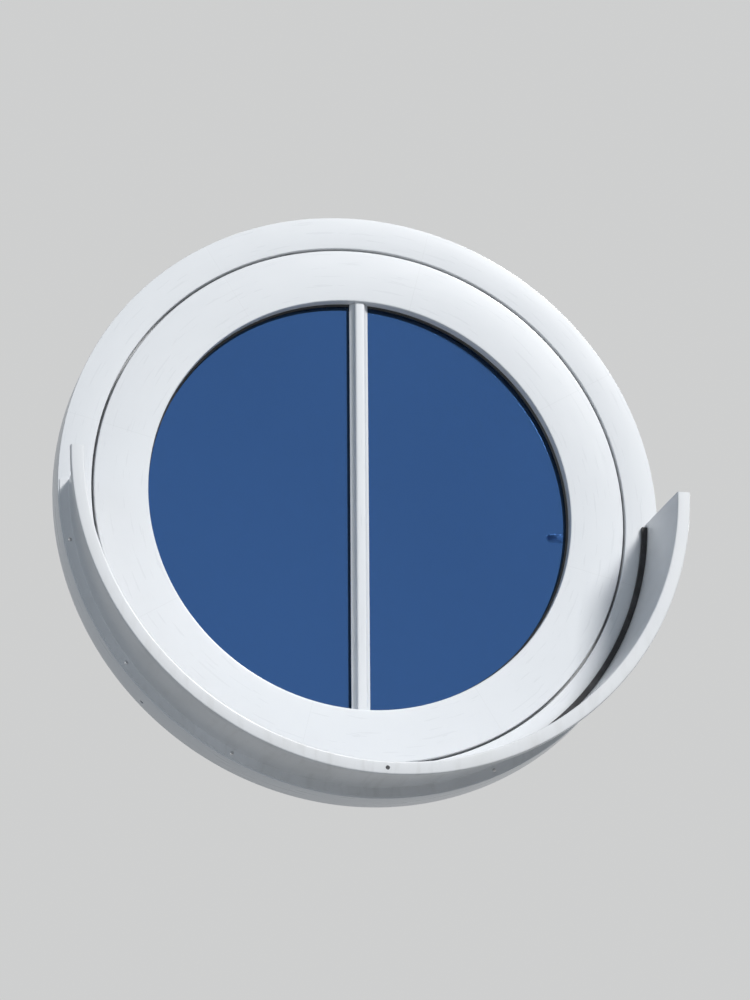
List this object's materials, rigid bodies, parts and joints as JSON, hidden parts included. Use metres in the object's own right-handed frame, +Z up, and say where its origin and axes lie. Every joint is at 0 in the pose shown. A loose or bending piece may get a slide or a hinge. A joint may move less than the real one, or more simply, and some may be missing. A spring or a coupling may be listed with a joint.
{
  "type": "round window",
  "caption": "Round white porthole window with an inward-opening sash, vertical glazing bar, and a deep half-round sill that carries a drip lip outside.",
  "frame": {"origin": "centre of the window at the outer face of the frame", "axes": "+X to the right as seen from outside, +Y into the building along the window's axis, +Z up"},
  "size_m": [1.238, 0.326, 1.229],
  "materials": {
    "white_timber": "white gloss paint",
    "white_sheet": "white coating",
    "zinc_steel": "zinc plated",
    "satin_aluminium": "satin",
    "black_rubber": "matt",
    "clear_glass": "polished",
    "spacer_metal": "mill",
    "grey_plastic": "moulded"
  },
  "bodies": {
    "frame": {"outer_frame": "white_timber", "frame_gasket": "black_rubber", "sill_trough": "white_sheet", "sill_joint_tape": "black_rubber", "keeps": "zinc_steel", "hinge_frame_knuckles": "satin_aluminium", "hinge_pins": "zinc_steel"},
    "sash": {"sash_frame": "white_timber", "outer_pane": "clear_glass", "inner_pane": "clear_glass", "pane_spacer": "spacer_metal", "outer_glazing_seal": "black_rubber", "inner_glazing_seal": "black_rubber", "glazing_bead": "white_timber", "setting_blocks": "grey_plastic", "outer_glazing_bar": "white_timber", "inner_glazing_bar": "white_timber", "spacer_bar": "spacer_metal", "gearbox_case": "zinc_steel", "rose_base": "satin_aluminium", "rose_cover": "satin_aluminium", "hinge_sash_knuckles": "satin_aluminium"},
    "rail": {"drive_rail": "zinc_steel", "locking_cams": "zinc_steel"},
    "handle": {"handle_lever": "satin_aluminium", "handle_spindle": "zinc_steel", "gear_pinion": "zinc_steel"}
  },
  "joints": [
    {"name": "sash_swing", "type": "hinge", "parent": "frame", "child": "sash", "pos_m": [-0.58, 0.07, 0], "axis": [0, 0, 1], "range_deg": [0, 90]},
    {"name": "handle_turn", "type": "hinge", "parent": "sash", "child": "handle", "pos_m": [0.525, 0.08, 0], "axis": [0, -1, 0], "range_deg": [0, 90]},
    {"name": "rail_turn", "type": "hinge", "parent": "sash", "child": "rail", "pos_m": [0, 0.045, 0], "axis": [0, -1, 0], "range_deg": [0, 2.02]}
  ],
  "couplings": [
    {"joint": "rail_turn", "follows": "handle_turn", "ratio": 0.022346}
  ]
}
